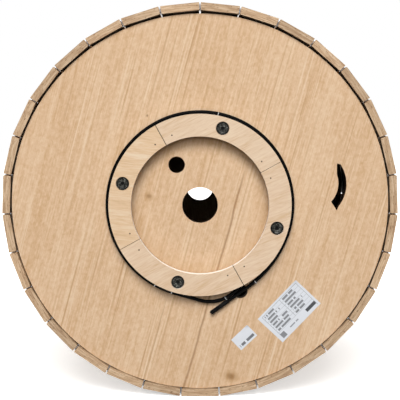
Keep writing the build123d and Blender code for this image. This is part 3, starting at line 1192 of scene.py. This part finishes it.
@dataclass
class Barrel:
    """The staves and the cable that is wound on them."""

    drum: Drum
    cable_diameter: float = 7.6 * MM
    bore_clearance: float = 0.3 * MM
    weld: float = 0.02 * MM
    points_a_turn: int = 3
    steps_round: int = 72

    def finish(self) -> None:
        """Dresses the staves."""
        self.drum.dress("barrel_staves", PlanedPine("planed_pine").build())

    def winding_tree(self) -> Tree:
        """Builds the tree that bends a grid into a wound roll: its outline goes out over the front end, along
        the turns, in over the back end and home along the bore, and a ridge for each turn climbs as a helix.

        Returns:
            The tree.
        """
        tree, sizes = open_tree("wound_cable", {
            "Bore Radius": Size.LENGTH, "Outer Radius": Size.LENGTH, "Width": Size.LENGTH,
            "Cable Diameter": Size.LENGTH, "Axis Height": Size.LENGTH,
            "Round": Size.COUNT, "Along": Size.COUNT, "Finish": Size.FINISH,
        })
        bore, width, thick = (sizes.outputs[name] for name in ("Bore Radius", "Width", "Cable Diameter"))
        grid = add(tree, "GeometryNodeMeshGrid", {
            "Size X": 1.0, "Size Y": 1.0,
            "Vertices X": sizes.outputs["Round"], "Vertices Y": sizes.outputs["Along"],
        })
        share = add(tree, AXES, {"Vector": add(tree, "GeometryNodeInputPosition")})
        # How far each point has run along the outline, and how far into each of its four stretches
        depth = add(tree, MATH, (sizes.outputs["Outer Radius"], bore), operation="SUBTRACT")
        half = add(tree, MATH, (depth, width), operation="ADD")
        whole = add(tree, MATH, (half, 2.0), operation="MULTIPLY")
        run = add(tree, MATH, (share.outputs["Y"], 0.5), operation="ADD")
        run = add(tree, MATH, (run, whole), operation="MULTIPLY")
        start, dones, heres = 0.0, [], []
        for length in (depth, width, depth, width):
            past = add(tree, MATH, (run, start), operation="SUBTRACT")
            begun = add(tree, MATH, (past, 0.0), operation="GREATER_THAN")
            left = add(tree, MATH, (past, length), operation="LESS_THAN")
            dones.append(add(tree, "ShaderNodeClamp", {"Value": past, "Min": 0.0, "Max": length}))
            heres.append(add(tree, MATH, (begun, left), operation="MULTIPLY"))
            start = add(tree, MATH, (start, length), operation="ADD")
        # How deep each point lies between the round backs of two turns
        turns = add(tree, MATH, (run, thick), operation="DIVIDE")
        climb = add(tree, MATH, (turns, share.outputs["X"]), operation="ADD")
        within = add(tree, MATH, (climb,), operation="FRACT")
        side = add(tree, MATH, (within, 2.0, -1.0), operation="MULTIPLY_ADD")
        square = add(tree, MATH, (side, side), operation="MULTIPLY")
        rest = add(tree, MATH, (1.0, square), operation="SUBTRACT")
        crest = add(tree, MATH, (rest,), operation="SQRT")
        valley = add(tree, MATH, (1.0, crest), operation="SUBTRACT")
        sink = add(tree, MATH, (thick, 0.5), operation="MULTIPLY")
        sink = add(tree, MATH, (sink, valley), operation="MULTIPLY")
        front, outside, back = (add(tree, MATH, (sink, here), operation="MULTIPLY") for here in heres[:3])
        # Its distance from the axis, its place along it and its turn round it
        radius = add(tree, MATH, (bore, dones[0]), operation="ADD")
        for less in (dones[2], outside):
            radius = add(tree, MATH, (radius, less), operation="SUBTRACT")
        axial = add(tree, MATH, (width, -0.5, dones[1]), operation="MULTIPLY_ADD")
        axial = add(tree, MATH, (axial, dones[3]), operation="SUBTRACT")
        axial = add(tree, MATH, (axial, front), operation="ADD")
        axial = add(tree, MATH, (axial, back), operation="SUBTRACT")
        turn = add(tree, MATH, (share.outputs["X"], math.tau), operation="MULTIPLY")
        sine, cosine = (add(tree, MATH, (turn,), operation=wave) for wave in ("SINE", "COSINE"))
        right = add(tree, MATH, (radius, sine), operation="MULTIPLY")
        up = add(tree, MATH, (radius, cosine, sizes.outputs["Axis Height"]), operation="MULTIPLY_ADD")
        bent = add(tree, "GeometryNodeSetPosition", {
            "Geometry": grid, "Position": add(tree, POINT, (right, axial, up)),
        })
        closed = add(tree, "GeometryNodeMergeByDistance", {"Geometry": bent, "Distance": self.weld})
        close_tree(tree, closed, sizes.outputs["Finish"])
        return tree

    def build(self, sheath: Material) -> None:
        """Winds the cable in place of its plain solid.

        Args:
            sheath: Finish of the cable.
        """
        low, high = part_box("cable_winding")
        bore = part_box("barrel_staves")[1].x + self.bore_clearance
        outer, width = high.x, high.y - low.y
        turns = 2 * (outer - bore + width) / self.cable_diameter
        winding = grow("wound_cable", self.winding_tree(), bpy.data.meshes.new("winding_start"), {
            "Bore Radius": bore, "Outer Radius": outer, "Width": width, "Cable Diameter": self.cable_diameter,
            "Axis Height": self.drum.height, "Round": self.steps_round + 1,
            "Along": round(turns * self.points_a_turn) + 1, "Finish": sheath,
        })
        ride(winding, ["cable_winding"])


@dataclass
class Lagging:
    """The slats that close the drum and the wires that bind them."""

    drum: Drum
    count: int = 31
    slat_radius: float = 410 * MM
    hoop_rise: float = 2.0 * MM  # of the hoop's middle over the drum's axis
    thickness: float = 16 * MM
    wire_radius: float = 1.0 * MM
    wire_sides: int = 8
    wire_pitch: float = 2.8 * MM
    wire_aside: float = 0.7 * MM  # from the middle of a gap to where a strand goes through it
    wire_row: float = 259 * MM  # from the drum's middle along the axis
    clearance: float = 0.1 * MM
    bend_radius: float = 1.3 * MM
    bend_steps: int = 3
    middle: float = field(init=False)

    def __post_init__(self) -> None:
        """Finds the middle of the hoop, which stands on the floor and hangs loose over the drum."""
        self.middle = self.drum.height + self.hoop_rise

    def finish(self) -> None:
        """Dresses the slats."""
        pine = SawnPine("rough_sawn_pine", self.middle, self.count, self.slat_radius).build()
        for number in range(1, self.count + 1):
            self.drum.dress(f"lagging_slat_{number:02d}", pine)

    def wire_tree(self) -> Tree:
        """Builds the tree that rounds a strand's corners and sweeps the wire along it.

        Returns:
            The tree.
        """
        tree, sizes = open_tree("bent_wire", {
            "Wire Radius": Size.LENGTH, "Bend Radius": Size.LENGTH, "Sides": Size.COUNT,
            "Finish": Size.FINISH,
        })
        path = add(tree, "GeometryNodeMeshToCurve", {"Mesh": sizes.outputs["Geometry"]})
        bends = add(tree, "GeometryNodeFilletCurve", {
            "Curve": path, "Radius": sizes.outputs["Bend Radius"], "Limit Radius": True,
            "Count": self.bend_steps,
        }, mode="POLY")
        section = add(tree, "GeometryNodeCurvePrimitiveCircle", {
            "Resolution": sizes.outputs["Sides"], "Radius": sizes.outputs["Wire Radius"],
        })
        wire = add(tree, "GeometryNodeCurveToMesh", {"Curve": bends, "Profile Curve": section})
        close_tree(tree, wire, sizes.outputs["Finish"])
        return tree

    def strand(self, over_first: bool, depth: float) -> list[Vector]:
        """Lays one strand over and under the slats in turn, beside its partner in the gaps.

        Args:
            over_first: Whether it lies over the slat on the floor.
            depth: Its place along Y.

        Returns:
            Corners of the closed strand.
        """
        sunk = self.wire_radius + self.clearance
        heights = {True: self.middle - sunk, False: self.middle - self.thickness + sunk}
        pitch = 360 / self.count
        corners = []
        for index in range(self.count):
            before = (index % 2 == 0) == over_first
            after = ((index + 1) % self.count % 2 == 0) == over_first
            aside = math.degrees(self.wire_aside / self.middle) * (int(after) - int(before))
            gap = 180 + (index + 0.5) * pitch
            crossing = [(before, pitch / 2 + aside), (after, pitch / 2 - aside)]
            for over, lean in crossing if aside else crossing[:1]:
                corners.append(on_circle(heights[over] / math.cos(math.radians(lean)), gap + aside, depth,
                                         self.middle))
        return corners

    def build(self) -> None:
        """Binds the slats with two strands in a row over each flange."""
        zinc = GalvanisedWire("galvanised_binding_wire", colour="#EDF3FA", shade="#C3CDD8", metal=0.4).build()
        tree = self.wire_tree()
        for side in Side:
            strands = [self.strand(over_first, side.value * (self.wire_row + step * self.wire_pitch))
                       for over_first, step in ((True, 0.5), (False, -0.5))]
            name = f"binding_strands_{side.name.lower()}"
            source = points_mesh(name + "_path", sum(strands, []), [len(corners) for corners in strands])
            wires = grow(name, tree, source, {
                "Wire Radius": self.wire_radius, "Bend Radius": self.bend_radius, "Sides": self.wire_sides,
                "Finish": zinc,
            })
            ride(wires, [f"binding_wire_{side.name.lower()}"])


@dataclass(frozen=True)
class Staple:
    """A staple over the cable: its angle round the ring, how far outside the loop it is, and its facing."""

    angle: float
    off: float
    facing: float


@dataclass
class CableEnd:
    """The cable's inner end round the ring, its cap and the staples that hold it."""

    drum: Drum
    cable_radius: float = 3.8 * MM
    lift: float = 0.9 * MM  # of the cable off the flange
    loop_radius: float = 196.6 * MM
    staple_wire: float = 0.7 * MM
    staple_depth: float = 1.5 * MM
    staple_sides: int = 8
    staple_steps: int = 13
    staples: tuple[Staple, ...] = (
        Staple(11.2, 0.0, 11.2), Staple(144.2, 5.8 * MM, 144.2), Staple(164.6, 10.9 * MM, 144.2),
        Staple(198.0, 0.0, 198.0), Staple(209.4, 0.0, 209.4),
    )

    def finish(self, sheath: Material) -> None:
        """Dresses the cable and its cap.

        Args:
            sheath: Finish of the cable.
        """
        cap = CableSheath("shrunk_polyolefin", dust_and_shade="#2A2B2D", rough=0.5).build()
        self.drum.dress("cable_end", sheath)
        self.drum.dress("cable_end_cap", cap)

    def staple_tree(self) -> Tree:
        """Builds the tree that bridges the cable with a bent staple at every point, turned to face out.

        Returns:
            The tree.
        """
        tree, sizes = open_tree("cable_staples", {
            "Cable Radius": Size.LENGTH, "Wire Radius": Size.LENGTH, "Leg": Size.LENGTH,
            "Finish": Size.FINISH,
        })
        wire = sizes.outputs["Wire Radius"]
        span = add(tree, MATH, (sizes.outputs["Cable Radius"], wire), operation="ADD")
        bridge = add(tree, "GeometryNodeCurveArc", {
            "Resolution": self.staple_steps, "Radius": span, "Start Angle": 0.0, "Sweep Angle": math.pi,
        }, mode="RADIUS")
        away = add(tree, MATH, (sizes.outputs["Leg"], -1.0), operation="MULTIPLY")
        foot = add(tree, POINT, (span, away))
        knee = add(tree, POINT, (span,))
        leg = add(tree, "GeometryNodeCurvePrimitiveLine", {"Start": foot, "End": knee})
        parts = add(tree, "GeometryNodeJoinGeometry")
        for part in (leg, bridge):
            tree.links.new(part.outputs[0], parts.inputs[0])
        section = add(tree, "GeometryNodeCurvePrimitiveCircle", {
            "Resolution": self.staple_sides, "Radius": wire,
        })
        staple = add(tree, "GeometryNodeCurveToMesh", {
            "Curve": parts, "Profile Curve": section, "Fill Caps": True,
        })
        facing = add(tree, "GeometryNodeInputNamedAttribute", {"Name": "turn"}, data_type="FLOAT_VECTOR")
        placed = add(tree, "GeometryNodeInstanceOnPoints", {
            "Points": sizes.outputs["Geometry"], "Instance": staple,
            "Rotation": add(tree, "FunctionNodeEulerToRotation", {"Euler": facing}),
        })
        close_tree(tree, placed, sizes.outputs["Finish"])
        return tree

    def build(self) -> None:
        """Sets the staples over the cable."""
        zinc = GalvanisedWire("bright_staple_wire", colour="#E4E6E8", shade="#A4A8AB").build()
        depth = self.drum.face - self.cable_radius - self.lift
        source = points_mesh("staple_places", [
            on_circle(self.loop_radius + staple.off, staple.angle, depth, self.drum.height)
            for staple in self.staples
        ])
        turns = source.attributes.new("turn", "FLOAT_VECTOR", "POINT")
        for stored, staple in zip(turns.data, self.staples):
            # Out from the axis along X and away from the flange along Y, in the staple's own frame
            out = on_circle(1.0, staple.facing, 0.0, 0.0)
            front = Vector((0.0, -1.0, 0.0))
            stored.vector = tuple(Matrix((out, front, out.cross(front))).transposed().to_euler())
        staples = grow("cable_staples", self.staple_tree(), source, {
            "Cable Radius": self.cable_radius, "Wire Radius": self.staple_wire,
            "Leg": self.cable_radius + self.lift + self.staple_depth, "Finish": zinc,
        })
        ride(staples)


@dataclass(frozen=True)
class Label:
    """A label: its size, its middle from the drum's axis, and the degrees that it leans up to the right."""

    name: str
    size: tuple[float, float]
    place: tuple[float, float]
    lean: float


@dataclass
class PaperLabels:
    """The two paper labels stuck on the front flange."""

    drum: Drum
    packing: Label = Label("packing_label", (118 * MM, 75 * MM), (192.2 * MM, -230 * MM), 46.7)
    number: Label = Label("number_label", (48 * MM, 32 * MM), (95.5 * MM, -288 * MM), 44.0)
    number_words: float = 16.0
    thickness: float = 0.25 * MM
    wave: float = 0.12 * MM
    lift: float = 1.6 * MM  # of the lifted corner
    lifted_share: float = 0.2
    curl: float = 1.5
    ripples: tuple[tuple[float, float], ...] = ((9.0, 4.0), (-2.0, 7.0))
    steps: tuple[int, int] = (24, 16)

    def build(self) -> None:
        """Sticks both labels on."""
        self.stick(self.packing, PaperLabel("coated_label_paper", self.table()).build())
        bars = (Patch(0.1, 0.5, 0.06, 0.4, 0.8, 1), Patch(0.46, 0.96, 0.06, 0.4, 0.8, 1))
        self.stick(self.number, PaperLabel("plain_label_paper", bars, self.number_words).build())

    def table(self) -> tuple[Patch, ...]:
        """Lays the packing label out: a frame, faint rules and patches of entries.

        Returns:
            Its patches of print.
        """
        frame = [Patch(0.07, 0.078, 0.05, 0.94, 0.5), Patch(0.95, 0.958, 0.05, 0.94, 0.5),
                 Patch(0.07, 0.95, 0.93, 0.943, 0.5), Patch(0.52, 0.528, 0.27, 0.94, 0.5)]
        rules = [Patch(0.07, 0.95, up, up + 0.012, 0.3) for up in (0.27, 0.38, 0.49, 0.6, 0.71, 0.82)]
        entries = [Patch(0.11, 0.48, 0.28, 0.93, 0.7, 6), Patch(0.57, 0.88, 0.28, 0.93, 0.7, 6),
                   Patch(0.3, 0.62, 0.12, 0.19, 0.6, 1), Patch(0.72, 0.95, 0.1, 0.2, 0.95),
                   Patch(0.07, 0.17, 0.06, 0.22, 0.7)]
        return tuple(frame + rules + entries)

    def stick(self, label: Label, paper: Material) -> None:
        """Makes one label: a thin sheet with a lifted corner, pressed on in soft ripples.

        Args:
            label: The label.
            paper: Its finish.
        """
        sheet = bmesh.new()
        columns, rows = self.steps
        bmesh.ops.create_grid(sheet, x_segments=columns, y_segments=rows, size=0.5, calc_uvs=True)
        layer = sheet.loops.layers.uv.verify()
        for face in sheet.faces:
            for corner in face.loops:
                corner[layer].uv = (corner.vert.co.x + 0.5, corner.vert.co.y + 0.5)
        lean = math.radians(label.lean)
        for point in sheet.verts:
            right, up = point.co.x, point.co.y
            along, across = (a * right + b * up for a, b in self.ripples)
            wave = self.wave * (1 + math.sin(along) * math.cos(across))
            lift = self.lift * (max(0.0, right + up - 1 + self.lifted_share) / self.lifted_share) ** self.curl
            x, y = right * label.size[0], up * label.size[1]
            point.co = (label.place[0] + x * math.cos(lean) - y * math.sin(lean),
                        self.drum.face - wave - lift,
                        self.drum.height + label.place[1] + x * math.sin(lean) + y * math.cos(lean))
        bmesh.ops.recalc_face_normals(sheet, faces=sheet.faces)
        if sum((face.normal for face in sheet.faces), Vector()).y > 0:
            bmesh.ops.reverse_faces(sheet, faces=sheet.faces)
        bmesh.ops.solidify(sheet, geom=sheet.faces[:], thickness=self.thickness)
        mesh = bpy.data.meshes.new(label.name)
        sheet.to_mesh(mesh)
        sheet.free()
        mesh.materials.append(paper)
        ride(keep(label.name, mesh))


# --------------------------------------------------------------------------------------------- studio


@dataclass(frozen=True)
class SoftBox:
    """A large soft lamp, aimed at the middle of the drum."""

    name: str
    power: float
    angle: float
    size: tuple[float, float]
    turn: float = 0.0
    distance: float = 12.0
    aside: float = -0.04

    def hang(self, middle: Vector) -> None:
        """Hangs the lamp.

        Args:
            middle: Point that it is aimed at.
        """
        lamp = bpy.data.lights.new(self.name, "AREA")
        lamp.shape = "RECTANGLE"
        lamp.size, lamp.size_y = self.size
        lamp.energy = self.power
        box = bpy.data.objects.new(self.name, lamp)
        bpy.context.scene.collection.objects.link(box)
        steep = math.radians(self.angle)
        away = Vector((self.aside, -math.cos(steep), math.sin(steep)))
        away.rotate(Matrix.Rotation(math.radians(self.turn), 3, "Z"))
        box.location = middle + self.distance * away
        box.rotation_euler = (-away).to_track_quat("-Z", "Y").to_euler()
        box.visible_camera = False


@dataclass
class Studio:
    """Floor, soft light and the camera."""

    drum: Drum
    floor_size: float = 20.0
    distance: float = 1.55  # of the camera from the front flange
    rise: float = 0.1524  # of the camera over the axis
    tilt: float = 5.22
    lens: float = 65.9
    sky: float = 0.07
    lamps: tuple[SoftBox, ...] = (
        SoftBox("soft_key", power=1415.0, angle=52.0, size=(8.6, 4.7)),
        SoftBox("front_fill", power=683.0, angle=28.0, size=(11.0, 7.2)),
        SoftBox("side_fill_right", power=1000.0, angle=10.0, size=(9.0, 6.0), turn=120.0),
        SoftBox("side_fill_left", power=1000.0, angle=10.0, size=(9.0, 6.0), turn=-120.0),
    )

    def build(self) -> None:
        """Sets the studio up."""
        self.floor()
        self.light()
        self.camera()

    def floor(self) -> None:
        """Lays the white floor."""
        ground = bmesh.new()
        bmesh.ops.create_grid(ground, x_segments=2, y_segments=2, size=self.floor_size)
        mesh = bpy.data.meshes.new("floor")
        ground.to_mesh(mesh)
        ground.free()
        mesh.materials.append(StudioFloor("white_sweep").build())
        keep("floor", mesh)

    def light(self) -> None:
        """Lights the drum with an even white room and the soft lamps."""
        world = bpy.data.worlds.new("white_room")
        bpy.context.scene.world = world
        world.use_nodes = True
        tree = world.node_tree
        tree.nodes.clear()
        path = add(tree, "ShaderNodeLightPath")
        seen = add(tree, MATH, (path.outputs["Is Camera Ray"], path.outputs["Is Transmission Ray"]),
                   operation="MAXIMUM")
        level = add(tree, RANGE, {"Value": seen, "To Min": self.sky, "To Max": 1.0})
        room = add(tree, "ShaderNodeBackground", {"Color": "#FFFFFF", "Strength": level})
        add(tree, "ShaderNodeOutputWorld", {"Surface": room})
        for lamp in self.lamps:
            lamp.hang(Vector((0.0, self.drum.face, self.drum.height)))

    def camera(self) -> None:
        """Stands the camera before the front flange, a little over the axis."""
        eye = bpy.data.cameras.new("photo_camera")
        eye.lens = self.lens
        stand = bpy.data.objects.new("photo_camera", eye)
        bpy.context.scene.collection.objects.link(stand)
        stand.location = (0.0, self.drum.face - self.distance, self.drum.height + self.rise)
        stand.rotation_euler = (math.radians(90 - self.tilt), 0.0, 0.0)
        bpy.context.scene.camera = stand


def main() -> None:
    """Builds the drum's sub-assemblies in order, then the studio."""
    logging.basicConfig(level=logging.INFO, format="%(name)s %(message)s")
    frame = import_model()
    drum = Drum(frame["nodes"])
    sheath = CableSheath("black_polyethylene").build()
    Flanges(drum).finish()
    ring = RingFittings(drum)
    ring.finish()
    ring.build()
    Bolts(drum).finish()
    barrel = Barrel(drum)
    barrel.finish()
    barrel.build(sheath)
    lagging = Lagging(drum)
    lagging.finish()
    lagging.build()
    cable = CableEnd(drum)
    cable.finish(sheath)
    cable.build()
    PaperLabels(drum).build()
    Studio(drum).build()
    bpy.context.scene.view_settings.view_transform = "Standard"


if __name__ == "__main__":
    main()
